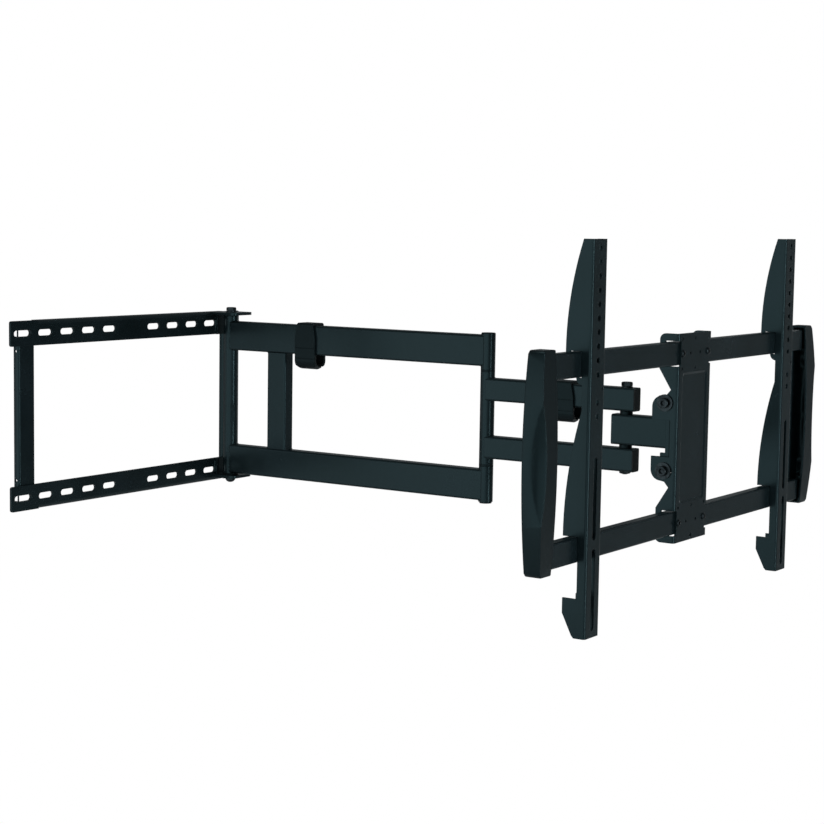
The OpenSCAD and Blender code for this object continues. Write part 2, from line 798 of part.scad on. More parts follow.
module tilt_bolts() {
    shank_l = channel_t + yoke_gap + yoke_t + weld_nut_l + tilt_washer_t + end_play + 1;
    socket_flats = 6;
    color(fastener) at_tilt_bolts(channel_w / 2 + end_play + tilt_washer_t) difference() {
        union() {
            cylinder(d = tilt_head_d, h = tilt_head_h);
            translate([0, 0, -shank_l]) cylinder(d = tilt_bolt_d, h = shank_l + 1);
        }
        translate([0, 0, tilt_head_h / 3]) hexagon(socket_flats, tilt_head_h);
    }
}

module tilt_washers() {
    color(steel_dark) at_tilt_bolts(channel_w / 2 + end_play) difference() {
        cylinder(d = tilt_washer_d, h = tilt_washer_t);
        translate([0, 0, -1]) cylinder(d = tilt_bolt_d, h = tilt_washer_t + 2);
    }
}

module tilt_weld_nuts() {
    color(fastener) at_tilt_bolts(yoke_w / 2 - yoke_t - weld_nut_l) difference() {
        cylinder(d = weld_nut_d, h = weld_nut_l);
        translate([0, 0, -1]) cylinder(d = tilt_bolt_d, h = weld_nut_l + 2);
    }
}

// ---- Television plate ----

// The outline of a channel side: depth from the front face along x, height along y
module channel_side() {
    top = channel_h / 2;
    corner = 8;
    waist_z = tilt_bolt_z + 19;
    shoulder_z = tv_rail_pitch / 2 - tv_rail_h / 2 - 4;
    lobe_r = 14;
    lobe_top = tilt_bolt_z + 11;
    gap = side_gap_h / 2;
    translate([-1, -top]) square([waist_d + 1, 2 * top]);
    for (s = [0, 1]) mirror([0, s]) {
        polygon([
            [-1, waist_z], [waist_d, waist_z], [channel_d, shoulder_z],
            [channel_d, top - corner], [-1, top - corner]
        ]);
        translate([-1, shoulder_z + 2]) square([channel_d + 1 - corner, top - shoulder_z - 2]);
        translate([channel_d - corner, top - corner]) circle(corner);
        polygon([
            [-1, gap], [lobe_d, gap], [lobe_d, lobe_top - lobe_r], [lobe_d - lobe_r, lobe_top - lobe_r],
            [lobe_d - lobe_r, lobe_top], [waist_d + 6, lobe_top + 1], [waist_d, waist_z], [-1, waist_z]
        ]);
        translate([lobe_d - lobe_r, lobe_top - lobe_r]) circle(lobe_r);
    }
}

// The arc-shaped slots that the tilt bolts run in, around the tilt axis
module tilt_slots() {
    half = tilt_bolt_d / 2 + arc_gap;
    translate([pivot_x, tilt_y, plate_z + plate_drop]) rotate([90, 0, 90])
        linear_extrude(2 * channel_w, center = true)
            for (turn = [0, 180]) rotate([0, 0, turn]) {
                intersection() {
                    difference() {
                        circle(tilt_bolt_z + half);
                        circle(tilt_bolt_z - half);
                    }
                    polygon([
                        [0, 0],
                        2 * tilt_bolt_z * [sin(-tilt_up), cos(-tilt_up)],
                        2 * tilt_bolt_z * [sin(tilt_down), cos(tilt_down)]
                    ]);
                }
                for (a = [-tilt_up, tilt_down])
                    translate(tilt_bolt_z * [sin(a), cos(a)]) circle(half);
            }
}

// The pressed panel of the channel's front, as a shallow tray grown by the sheet's thickness
module pressed_panel(grow) {
    slope = 3;
    translate([pivot_x, channel_front_y, plate_z]) rotate([90, 0, 0]) hull() {
        translate([0, 0, -grow]) linear_extrude(0.5)
            rounded_rect(panel_w + 2 * grow, panel_h + 2 * grow, 6);
        translate([0, 0, -panel_depth - grow]) linear_extrude(0.5)
            rounded_rect(panel_w + 2 * grow - 2 * slope, panel_h + 2 * grow - 2 * slope, 4);
    }
}

module centre_channel() {
    outer_row_z = channel_h / 2 - 7;
    inner_row_z = tv_rail_pitch / 2 - tv_rail_h / 2 - 4.5;
    edge_hole_x = channel_w / 2 - 10;
    window_reach = 7;
    color(steel) difference() {
        union() {
            intersection() {
                translate([pivot_x, channel_front_y, plate_z - channel_h / 2]) linear_extrude(channel_h)
                    channel_outline(channel_w, lobe_d, channel_t, bend_r);
                translate([pivot_x, channel_front_y, plate_z]) rotate([90, 0, 90])
                    linear_extrude(2 * channel_w, center = true) channel_side();
            }
            intersection() {
                pressed_panel(channel_t);
                translate([pivot_x, channel_front_y + channel_t, plate_z])
                    cube([channel_w, 3 * channel_t, channel_h], center = true);
            }
        }
        pressed_panel(0);
        for (z = [upper_rail_z, lower_rail_z]) {
            for (s = [-1, 1]) translate([pivot_x + s * channel_w / 2, channel_front_y, z])
                cube([2 * window_reach, 2 * (channel_t + tv_rail_d + rail_gap), window_h], center = true);
            for (s = [-1, 1]) {
                translate([pivot_x + s * screw_pitch / 2, channel_front_y, z])
                    hole_y(screw_d, 3 * channel_t);
                translate([pivot_x + s * spare_pitch / 2, channel_front_y, z])
                    hole_y(small_hole_d, 3 * channel_t);
            }
        }
        for (p = [
            [-edge_hole_x, outer_row_z], [0, outer_row_z], [-edge_hole_x, inner_row_z], [0, inner_row_z],
            [-edge_hole_x, -inner_row_z], [0, -inner_row_z], [edge_hole_x, -inner_row_z]
        ]) translate([pivot_x + p[0], channel_front_y, plate_z + p[1]])
            hole_y(small_hole_d, 3 * channel_t);
        translate([pivot_x, channel_front_y, plate_z - outer_row_z - 1]) hole_y(low_hole_d, 3 * channel_t);
        tilt_slots();
    }
}

// One television rail, with clearance holes for the rail screws in its front wall
module tv_rail(z) {
    color(steel) difference() {
        translate([pivot_x, rail_y + tv_rail_d / 2, z])
            tube_along_x(tv_rail_d, tv_rail_h, tv_rail_t, 2.5, -tv_rail_l / 2, tv_rail_l / 2);
        for (s = [-1, 1]) translate([pivot_x + s * screw_pitch / 2, rail_y, z])
            hole_y(screw_d, 2 * tv_rail_t + 1);
    }
}

module tv_rail_upper() {
    tv_rail(upper_rail_z);
}

module tv_rail_lower() {
    tv_rail(lower_rail_z);
}

module rail_screws() {
    shank_l = channel_t + tv_rail_t + 4;
    recess_flats = 3;
    color(fastener) for (z = [upper_rail_z, lower_rail_z], s = [-1, 1])
        translate([pivot_x + s * screw_pitch / 2, channel_front_y, z]) rotate([90, 0, 0]) difference() {
            union() {
                cylinder(d = screw_head_d, h = screw_head_h);
                translate([0, 0, -shank_l]) cylinder(d = screw_d, h = shank_l + 1);
            }
            translate([0, 0, screw_head_h / 2]) hexagon(recess_flats, screw_head_h);
        }
}

// The front outline of the right end cap: straight inside and bowed outside. It is drawn inward by
// wall, and its straight side stands further in by reach
module cap_outline(wall, reach) {
    half = cap_h / 2;
    bow_r = (half * half + cap_bow * cap_bow) / (2 * cap_bow);
    intersection() {
        translate([plate_w / 2 - bow_r, 0]) circle(bow_r - wall, $fn = 720);
        translate([plate_w / 2 - cap_bow - cap_end_w - reach, wall - half])
            square([cap_end_w + cap_bow + reach, cap_h - 2 * wall]);
    }
}

// What lies outside the round upper corner of the right end cap
module cap_corner() {
    half = cap_h / 2;
    bow_r = (half * half + cap_bow * cap_bow) / (2 * cap_bow);
    corner_z = half - cap_r;
    corner_x = sqrt((bow_r - cap_r) * (bow_r - cap_r) - corner_z * corner_z);
    lean = asin(corner_z / (bow_r - cap_r));
    out = cap_r + 4;
    translate([plate_w / 2 - bow_r + corner_x, rail_y, corner_z]) rotate([90, 0, 0]) difference() {
        linear_extrude(3 * tv_rail_d, center = true)
            polygon([[0, 0], out * [cos(lean), sin(lean)], [out, out], [0, out]]);
        cylinder(r = cap_r, h = 4 * tv_rail_d, center = true);
    }
}

// The right end cap's body: the outline above with a face that bulges forward
module cap_body(wall, reach, back_y) {
    half = cap_h / 2;
    face_y = rail_y - cap_proud - cap_bulge;
    bulge_r = (half * half + cap_bulge * cap_bulge) / (2 * cap_bulge);
    intersection() {
        translate([0, back_y, 0]) rotate([90, 0, 0]) linear_extrude(back_y - face_y + 1)
            cap_outline(wall, reach);
        translate([0, face_y + bulge_r, 0]) rotate([0, 90, 0])
            cylinder(r = bulge_r - wall, h = 2 * plate_w, center = true, $fn = 720);
    }
}

// The cutter of the scooped facet: a large ring that leans across the front outer edge
module cap_scoop(wall) {
    half = cap_h / 2;
    face_y = rail_y - cap_proud - cap_bulge;
    chord = sqrt(scoop_front * scoop_front + scoop_side * scoop_side);
    fall = (scoop_half / half) * (scoop_half / half);
    depth = (scoop_front * scoop_side - fall * (cap_bow * scoop_side + cap_bulge * scoop_front)) / chord;
    hollow = scoop_hollow_r - sqrt(scoop_hollow_r * scoop_hollow_r - chord * chord / 4);
    sag = depth + hollow;
    ring_r = (scoop_half * scoop_half + sag * sag) / (2 * sag);
    translate([(plate_w - scoop_front) / 2, face_y + scoop_side / 2, 0])
        rotate([0, 0, atan2(scoop_side, scoop_front)]) translate([0, hollow - ring_r, 0])
            rotate([0, 90, 0]) rotate_extrude($fn = 360)
                translate([ring_r - scoop_hollow_r, 0]) circle(scoop_hollow_r + wall, $fn = 96);
}

// The right end cap: a shell open toward the plate's middle, with a plug for each rail's end
module end_cap() {
    rail_back_y = rail_y + tv_rail_d;
    plug_d = tv_rail_d - 2 * tv_rail_t - 2 * plug_gap;
    plug_h = tv_rail_h - 2 * tv_rail_t - 2 * plug_gap;
    plug_x = tv_rail_l / 2 - plug_in;
    color(plastic) translate([pivot_x, 0, plate_z]) union() {
        difference() {
            cap_body(0, 0, rail_back_y + cap_t);
            difference() {
                cap_body(cap_t, 1, rail_back_y);
                cap_scoop(cap_t);
            }
            cap_scoop(0);
            for (s = [0, 1]) mirror([0, 0, s]) cap_corner();
        }
        intersection() {
            cap_body(cap_t / 2, 3 * plug_in, rail_back_y);
            for (s = [-1, 1]) translate([plug_x, rail_y + (tv_rail_d - plug_d) / 2, 0])
                translate([0, 0, (s * tv_rail_pitch - plug_h) / 2])
                    cube([plate_w / 2 - plug_x, plug_d, plug_h]);
        }
    }
}

module end_cap_left() {
    translate([2 * pivot_x, 0, 0]) mirror([1, 0, 0]) end_cap();
}

module end_cap_right() {
    end_cap();
}

// ---- Television brackets ----

// What lies outside a bow that starts upright at depth d and height z and bends in by in_d at top_z
module outside_bow(d, z, top_z, in_d) {
    rise = top_z - z;
    r = (rise * rise + in_d * in_d) / (2 * in_d);
    rotate([90, 0, 90]) linear_extrude(2 * bracket_w, center = true) difference() {
        translate([d - in_d, z]) square([in_d + 2, rise]);
        translate([d - r, z]) circle(r, $fn = 360);
    }
}

// The side outline of a bracket, as a block across its width: its hook, lip, notches and foot
module bracket_side() {
    rail_top = (tv_rail_pitch + tv_rail_h) / 2;
    rail_low = (tv_rail_pitch - tv_rail_h) / 2;
    hook_z = rail_top + hang_gap;
    hook_end_r = (hook_d - rail_back_d - hang_gap) / 2;
    hook_low = hook_z - hook_drop + hook_end_r;
    seat_z = rail_low - hang_gap;
    lower_z = -rail_low + hang_gap;
    reach = bracket_reach - hang_gap;
    behind = rail_back_d + hang_gap;
    lip_d = 19;
    lip_h = 9;
    foot_z = -rail_top - 43;
    bow_z = seat_z - lip_h - 30;
    difference() {
        union() {
            rotate([90, 0, 90]) linear_extrude(2 * bracket_w, center = true) polygon([
                [-1, bracket_up + 1], [hook_d, bracket_up + 1], [hook_d, hook_low], [behind, hook_low],
                [behind, hook_z], [reach, hook_z], [reach, seat_z], [lip_d, seat_z],
                [lip_d, seat_z - lip_h], [neck_d, seat_z - lip_h], [neck_d, bow_z], [lower_d, bow_z],
                [lower_d, lower_z], [reach, lower_z], [reach, foot_z], [foot_d, foot_z],
                [foot_d, foot_z - foot_h], [18, -bracket_down + 3], [15, -bracket_down],
                [15, -bracket_down - 1], [-1, -bracket_down - 1]
            ]);
            translate([0, hook_d - hook_end_r, hook_low]) rotate([0, 90, 0])
                cylinder(r = hook_end_r, h = 2 * bracket_w, center = true);
        }
        outside_bow(hook_d, hook_z, bracket_up, hook_d - bracket_top_d);
        outside_bow(lower_d, lower_z, bow_z, lower_d - neck_d);
        rotate([90, 0, 90]) linear_extrude(3 * bracket_w, center = true) difference() {
            translate([lip_d - lip_h, seat_z - lip_h - 1]) square([lip_h + 1, lip_h + 1]);
            translate([lip_d - lip_h, seat_z]) circle(lip_h);
            translate([-1, seat_z - 2 * lip_h]) square([neck_d + 1, 2 * lip_h]);
        }
    }
}

// One bracket, a channel whose sides hook over the rails, centred on x = 0
module vesa_bracket() {
    first_z = bracket_up - first_hole;
    color(steel) difference() {
        intersection() {
            translate([0, bracket_y, plate_z - bracket_down]) linear_extrude(bracket_up + bracket_down)
                channel_outline(bracket_w, hook_d + 1, bracket_t, 1);
            translate([0, bracket_y, plate_z]) bracket_side();
        }
        for (i = [0 : 12]) if (i != 10) translate([0, bracket_y, plate_z + first_z - i * vesa_hole_pitch])
            hole_y(vesa_hole_d, 3 * bracket_t);
        translate([bracket_w / 3, bracket_y, plate_z + first_z - 10 * vesa_hole_pitch])
            hole_y(small_hole_d, 3 * bracket_t);
        for (s = [-1, 1]) translate([0, bracket_y, plate_z - slot_drop + s * vesa_slot_pitch / 2])
            slot_z(vesa_slot_l, vesa_slot_w, 3 * bracket_t);
    }
}

module vesa_bracket_left() {
    translate([pivot_x - bracket_pitch / 2, 0, 0]) vesa_bracket();
}

module vesa_bracket_right() {
    translate([pivot_x + bracket_pitch / 2, 0, 0]) vesa_bracket();
}

wall_rail_top();
wall_rail_bottom();
wall_upright_left();
wall_upright_right();
hinge_bracket_top();
hinge_bracket_bottom();
wall_pivot_bolt();
wall_pivot_nut();
wall_pivot_washers();
arm1_hinge_tube();
arm1_top_bar();
arm1_bottom_bar();
arm1_strut();
arm1_knuckle_top();
arm1_knuckle_bottom();
wall_pivot_bushes();
elbow_pin();
elbow_caps();
cable_clip_arm1();
elbow_tube();
elbow_bushes();
arm2_top_bar();
arm2_bottom_bar();
arm2_end_plugs();
cable_clip_arm2();
head_pivot_bolt();
head_pivot_nut();
swivel_tube();
head_bushes();
tilt_yoke();
tilt_bolts();
tilt_washers();
tilt_weld_nuts();
centre_channel();
tv_rail_upper();
tv_rail_lower();
rail_screws();
end_cap_left();
end_cap_right();
vesa_bracket_left();
vesa_bracket_right();
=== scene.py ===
import math

import bmesh
import bpy
from mathutils import Matrix, Vector


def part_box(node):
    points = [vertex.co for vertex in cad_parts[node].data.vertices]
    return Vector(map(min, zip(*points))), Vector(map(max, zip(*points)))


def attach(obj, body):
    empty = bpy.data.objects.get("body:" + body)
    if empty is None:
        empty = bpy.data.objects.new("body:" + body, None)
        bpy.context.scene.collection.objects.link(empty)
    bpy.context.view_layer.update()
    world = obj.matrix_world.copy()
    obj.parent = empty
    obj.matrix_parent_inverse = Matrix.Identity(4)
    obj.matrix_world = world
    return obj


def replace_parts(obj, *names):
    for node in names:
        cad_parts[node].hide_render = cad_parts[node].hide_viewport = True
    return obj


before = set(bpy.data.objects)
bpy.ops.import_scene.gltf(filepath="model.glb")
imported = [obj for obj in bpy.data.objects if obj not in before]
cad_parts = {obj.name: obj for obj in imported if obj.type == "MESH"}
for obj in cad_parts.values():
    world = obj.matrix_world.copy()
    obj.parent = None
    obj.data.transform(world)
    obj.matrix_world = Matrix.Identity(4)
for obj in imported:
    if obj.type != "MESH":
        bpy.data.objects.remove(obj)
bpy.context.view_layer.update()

# ---- Wall frame ----
# Two slotted rails and two shallow upright channels of low-carbon steel sheet, laser cut, folded and
# stitch welded behind the rails. The welded frame is powder coated black in one go, like the arms.

MM = 0.001


def linear(colour):
    """Turns an sRGB hex colour into the linear values that a shader takes."""
    parts = [int(colour[i : i + 2], 16) / 255 for i in (1, 3, 5)]
    return [p / 12.92 if p <= 0.04045 else ((p + 0.055) / 1.055) ** 2.4 for p in parts] + [1]


def add_node(tree, kind, values=None, links=None, **settings):
    """Adds one node, with its settings, its sockets' values, and links from (node, output) pairs."""
    node = tree.nodes.new("ShaderNode" + kind)
    for key, value in settings.items():
        setattr(node, key, value)
    for key, value in (values or {}).items():
        node.inputs[key].default_value = value
    for key, (source, output) in (links or {}).items():
        tree.links.new(source.outputs[output], node.inputs[key])
    return node


def new_material(name):
    """An empty material with its output and one Principled shader, and its object coordinates."""
    material = bpy.data.materials.new(name)
    material.use_nodes = True
    tree = material.node_tree
    tree.nodes.clear()
    shader = add_node(tree, "BsdfPrincipled")
    add_node(tree, "OutputMaterial", links={"Surface": (shader, "BSDF")})
    place = add_node(tree, "TexCoord")
    return material, tree, shader, place


def per_metre(size_mm):
    """The Scale of a pattern whose features repeat every size_mm, on object coordinates in metres."""
    return 1 / (size_mm * MM)


def powder_coat():
    """Black polyester powder, baked on: deep and fairly glossy, with a cold green-blue cast, a slow
    drift in its depth, a fleck from the pigment and the shallow orange peel of melted powder."""
    material, tree, shader, place = new_material("powder_coated_steel")
    # The real fleck is finer than 5 mm. It is drawn as coarse as it needs to show.
    drift_mm, fleck_mm, peel_mm = 80, 5, 2.4
    drift = add_node(tree, "TexNoise", {"Scale": per_metre(drift_mm), "Detail": 3.0},
                     {"Vector": (place, "Object")})
    fleck = add_node(tree, "TexNoise", {"Scale": per_metre(fleck_mm), "Detail": 6.0, "Roughness": 0.7},
                     {"Vector": (place, "Object")})
    mixed = add_node(tree, "Mix", {"Factor": 0.12}, {"A": (drift, "Fac"), "B": (fleck, "Fac")},
                     data_type="FLOAT")
    tone = add_node(tree, "ValToRGB", links={"Fac": (mixed, "Result")})
    tone.color_ramp.elements[0].position = 0.3
    tone.color_ramp.elements[1].position = 0.7
    tone.color_ramp.elements[0].color = linear("#0f181a")
    tone.color_ramp.elements[1].color = linear("#182226")
    tree.links.new(tone.outputs["Color"], shader.inputs["Base Color"])
    gloss = add_node(tree, "MapRange", {"From Min": 0.3, "From Max": 0.7, "To Min": 0.22, "To Max": 0.28},
                     {"Value": (mixed, "Result")})
    tree.links.new(gloss.outputs["Result"], shader.inputs["Roughness"])
    peel = add_node(tree, "TexNoise", {"Scale": per_metre(peel_mm), "Detail": 2.0},
                    {"Vector": (place, "Object")})
    edge = add_node(tree, "Bevel", {"Radius": 0.6 * MM}, samples=4)
    bump = add_node(tree, "Bump", {"Strength": 0.15, "Distance": 0.015 * MM},
                    {"Height": (peel, "Fac"), "Normal": (edge, "Normal")})
    tree.links.new(bump.outputs["Normal"], shader.inputs["Normal"])
    shader.inputs["IOR"].default_value = 1.5
    shader.inputs["Specular IOR Level"].default_value = 0.4
    shader.inputs["Specular Tint"].default_value = linear("#a6d6e0")
    return material


def coat(nodes, material):
    """Gives CAD nodes a material in place of the plain one they were packed with."""
    for name in nodes:
        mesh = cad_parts[name].data
        mesh.materials.clear()
        mesh.materials.append(material)
        mesh.polygons.foreach_set("material_index", [0] * len(mesh.polygons))


def corners(node):
    """A CAD node's lowest and highest corners, in millimetres."""
    low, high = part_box(node)
    return Vector(low) / MM, Vector(high) / MM


def weld_line(start, end, bead=2.4):
    """The places of the overlapping drops of one straight MIG weld bead, from start to end."""
    run = Vector(end) - Vector(start)
    steps = max(2, round(run.length / (0.5 * bead)))
    return [Matrix.Translation(Vector(start) + run * (i / steps)) @ Matrix.Scale(bead, 4)
            for i in range(steps + 1)]


def weld_round(centre, radius, first, last, bead=2.4):
    """The places of the drops of a bead round an upright tube, between two angles from +X."""
    steps = max(3, round(math.radians(last - first) * radius / (0.5 * bead)))
    turns = [math.radians(first + (last - first) * i / steps) for i in range(steps + 1)]
    return [Matrix.Translation(Vector(centre) + radius * Vector((math.cos(t), math.sin(t), 0)))
            @ Matrix.Scale(bead, 4) for t in turns]


def copies(part, places):
    """Sets one finished part down at each of its places and gives them all as one bmesh."""
    pattern = bpy.data.meshes.new("pattern")
    part.to_mesh(pattern)
    part.free()
    whole = bmesh.new()
    for place in places:
        before = len(whole.verts)
        whole.from_mesh(pattern)
        whole.verts.ensure_lookup_table()
        bmesh.ops.transform(whole, matrix=place, verts=whole.verts[before:])
    bpy.data.meshes.remove(pattern)
    return whole


def weld_beads(drops):
    """Weld beads of many drops, one set over the next, which leaves the ripples of the torch."""
    drop = bmesh.new()
    bmesh.ops.create_uvsphere(drop, u_segments=10, v_segments=6, radius=0.5)
    return copies(drop, drops)


def add_piece(bm, name, body, material):
    """Makes a bmesh drawn in millimetres a piece with outward faces that rides with a body."""
    bmesh.ops.recalc_face_normals(bm, faces=bm.faces)
    bmesh.ops.scale(bm, verts=bm.verts, vec=(MM, MM, MM))
    mesh = bpy.data.meshes.new(name)
    bm.to_mesh(mesh)
    bm.free()
    mesh.materials.append(material)
    mesh.shade_smooth()
    mesh.set_sharp_from_angle(angle=math.radians(32))
    piece = bpy.data.objects.new(name, mesh)
    bpy.context.scene.collection.objects.link(piece)
    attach(piece, body)
    return piece


steel = powder_coat()
coat(["wall_rail_top", "wall_rail_bottom", "wall_upright_left", "wall_upright_right"], steel)

stitch_start, stitch_end = 9, 25
corner_gap, bead_rise = 0.5, 0.8
stitches = []
_, rail_high = corners("wall_rail_top")
for upright in ("wall_upright_left", "wall_upright_right"):
    low, high = corners(upright)
    for z in (1, -1):
        for x in (low.x - corner_gap, high.x + corner_gap):
            # The right upright ends flush with the rails, so its outer side has no stitch.
            if x < rail_high.x - 2:
                stitches += weld_line((x, low.y + bead_rise, z * (rail_high.z - stitch_start)),
                                      (x, low.y + bead_rise, z * (rail_high.z - stitch_end)))
add_piece(weld_beads(stitches), "wall_frame_welds", "wall_frame", steel)

# ---- Wall hinge ----
# Two folded ears welded to the rails' right ends carry the arms on one long M8 bolt, with a plain
# washer under its head and its lock nut. The fasteners are bought in, plated with black zinc.

coat(["hinge_bracket_top", "hinge_bracket_bottom"], steel)

ear_leg_w, ear_t = 34, 4
side_weld_low, side_weld_high = 99, 115
side_gap, side_rise = 0.4, 0.6
under_gap, under_rise, under_inset = 0.5, 0.4, 2
ear_welds = []
for bracket, z in (("hinge_bracket_top", 1), ("hinge_bracket_bottom", -1)):
    low, high = corners(bracket)
    leg_x = high.x - ear_leg_w - side_gap
    under = (high.z if z > 0 else low.z) - z * (ear_t + under_gap)
    ear_welds += weld_line((leg_x, high.y - side_rise, z * side_weld_low),
                           (leg_x, high.y - side_rise, z * side_weld_high))
    ear_welds += weld_line((low.x + under_inset, high.y - under_rise, under),
                           (leg_x - under_inset, high.y - under_rise, under))
add_piece(weld_beads(ear_welds), "hinge_ear_welds", "wall_frame", steel)


def black_zinc():
    """Steel plated with black zinc: a thin dark passivated skin that stays metallic, a little cloudy
    from the bath, and brighter where the thread and the wrench flats take the light."""
    material, tree, shader, place = new_material("black_zinc_plated_steel")
    cloud_mm = 5
    cloud = add_node(tree, "TexNoise", {"Scale": per_metre(cloud_mm), "Detail": 5.0},
                     {"Vector": (place, "Object")})
    tone = add_node(tree, "ValToRGB", links={"Fac": (cloud, "Fac")})
    tone.color_ramp.elements[0].position = 0.35
    tone.color_ramp.elements[1].position = 0.7
    tone.color_ramp.elements[0].color = linear("#1f2629")
    tone.color_ramp.elements[1].color = linear("#343e42")
    tree.links.new(tone.outputs["Color"], shader.inputs["Base Color"])
    gloss = add_node(tree, "MapRange", {"To Min": 0.2, "To Max": 0.36}, {"Value": (cloud, "Fac")})
    tree.links.new(gloss.outputs["Result"], shader.inputs["Roughness"])
    edge = add_node(tree, "Bevel", {"Radius": 0.25 * MM}, samples=4)
    tree.links.new(edge.outputs["Normal"], shader.inputs["Normal"])
    shader.inputs["Metallic"].default_value = 0.9
    return material


def turned(bm, profile, ring=False, segments=48):
    """Turns a profile of (radius, height) points about the Z axis. A ring's profile closes on itself."""
    verts = [bm.verts.new((radius, 0, z)) for radius, z in profile]
    edges = [bm.edges.new(pair) for pair in zip(verts, verts[1:])]
    if ring:
        edges.append(bm.edges.new((verts[-1], verts[0])))
    bmesh.ops.spin(bm, geom=verts + edges, cent=(0, 0, 0), axis=(0, 0, 1), angle=math.tau,
                   steps=segments, use_merge=True)
    bmesh.ops.remove_doubles(bm, verts=bm.verts, dist=0.0005)


def cut_hexagon(bm, flats):
    """Cuts six wrench flats, so that a chamfered disc becomes a bolt's or a nut's hexagon."""
    for i in range(6):
        side = Matrix.Rotation(math.radians(30 + 60 * i), 3, "Z") @ Vector((1, 0, 0))
        bmesh.ops.bisect_plane(bm, geom=bm.verts[:] + bm.edges[:] + bm.faces[:], dist=0.0001,
                               plane_co=side * flats / 2, plane_no=side, clear_outer=True)
        bmesh.ops.holes_fill(bm, edges=[e for e in bm.edges if e.is_boundary], sides=0)


def thread(radius, bottom, top, pitch=1.25):
    """The crests and roots of a thread between two heights, as points of a turned profile."""
    turns = int((top - bottom) / pitch)
    points = []
    for i in range(turns):
        points += [(radius, bottom + (i + 0.15) * pitch), (radius - 0.55, bottom + (i + 0.6) * pitch)]
    return points + [(radius, bottom + (turns + 0.1) * pitch)]


def hex_bolt(bm, tip, seat, top, threaded, shank_d=8, flats=13):
    """A forged hexagon bolt: chamfered tip, thread, plain shank, washer face and chamfered head."""
    shank, corner = shank_d / 2, flats / math.sqrt(3)
    turned(bm, [(0, tip), (shank - 0.8, tip)] + thread(shank, tip + 0.6, tip + threaded)
           + [(shank, seat), (flats / 2 - 0.4, seat), (flats / 2 - 0.4, seat + 0.4),
              (corner, seat + 0.4), (corner, top - 0.9), (flats / 2 - 0.3, top),
              (flats / 2 - 1.3, top), (flats / 2 - 1.9, top - 0.35), (0, top - 0.35)])
    cut_hexagon(bm, flats)


def lock_nut(bm, seat, far, bore_d=8, flats=13):
    """A nylon-insert lock nut that hangs below its seat: a hexagon, then a rounded collar."""
    bore, corner = bore_d / 2, flats / math.sqrt(3)
    collar = far + 0.3 * (seat - far)
    turned(bm, [(bore, seat), (flats / 2 - 0.3, seat), (corner, seat - 0.8), (corner, collar + 0.6),
                (flats / 2 - 0.3, collar), (bore, collar)], ring=True)
    cut_hexagon(bm, flats)
    turned(bm, [(bore, collar + 0.1), (flats / 2 - 0.5, collar + 0.1), (flats / 2 - 0.5, far + 1.0),
                (flats / 2 - 0.8, far + 0.4), (flats / 2 - 1.5, far), (bore + 0.4, far),
                (bore, far + 0.5)], ring=True)


zinc = black_zinc()
coat(["wall_pivot_washers"], zinc)

low, high = corners("wall_pivot_bolt")
nut_low, nut_high = corners("wall_pivot_nut")
_, washer_high = corners("wall_pivot_washers")
axis = Matrix.Translation(((low.x + high.x) / 2, (low.y + high.y) / 2, 0))
bolt = bmesh.new()
hex_bolt(bolt, low.z, washer_high.z, high.z, threaded=22)
bmesh.ops.transform(bolt, matrix=axis, verts=bolt.verts)
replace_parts(add_piece(bolt, "hinge_bolt", "wall_frame", zinc), "wall_pivot_bolt")
nut = bmesh.new()
lock_nut(nut, nut_high.z, nut_low.z)
bmesh.ops.transform(nut, matrix=axis, verts=nut.verts)
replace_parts(add_piece(nut, "hinge_lock_nut", "wall_frame", zinc), "wall_pivot_nut")

# ---- Long arm ----
# Two rectangular tubes and an upright strut, MIG welded to the round hinge tube at the wall and to
# two short knuckles at the elbow, then powder coated. Nylon bushes run in both ends of the hinge tube.

coat(["arm1_hinge_tube", "arm1_top_bar", "arm1_bottom_bar", "arm1_strut", "arm1_knuckle_top",
      "arm1_knuckle_bottom"], steel)


def moulded_nylon():
    """Black glass-filled nylon for bushes, plugs and clips: smoother than the caps' plastic, with a
    soft sheen and the faint flow marks of moulding."""
    material, tree, shader, place = new_material("moulded_nylon")
    flow_mm = 9
    flow = add_node(tree, "TexNoise", {"Scale": per_metre(flow_mm), "Detail": 3.0, "Distortion": 1.5},
                    {"Vector": (place, "Object")})
    tone = add_node(tree, "ValToRGB", links={"Fac": (flow, "Fac")})
    tone.color_ramp.elements[0].color = linear("#0a0f10")
    tone.color_ramp.elements[1].color = linear("#10171a")
    tree.links.new(tone.outputs["Color"], shader.inputs["Base Color"])
    gloss = add_node(tree, "MapRange", {"To Min": 0.34, "To Max": 0.46}, {"Value": (flow, "Fac")})
    tree.links.new(gloss.outputs["Result"], shader.inputs["Roughness"])
    edge = add_node(tree, "Bevel", {"Radius": 0.7 * MM}, samples=4)
    bump = add_node(tree, "Bump", {"Strength": 0.15, "Distance": 0.03 * MM},
                    {"Height": (flow, "Fac"), "Normal": (edge, "Normal")})
    tree.links.new(bump.outputs["Normal"], shader.inputs["Normal"])
    shader.inputs["IOR"].default_value = 1.53
    shader.inputs["Specular IOR Level"].default_value = 0.25
    shader.inputs["Specular Tint"].default_value = linear("#a6d6e0")
    return material


nylon = moulded_nylon()
coat(["wall_pivot_bushes"], nylon)

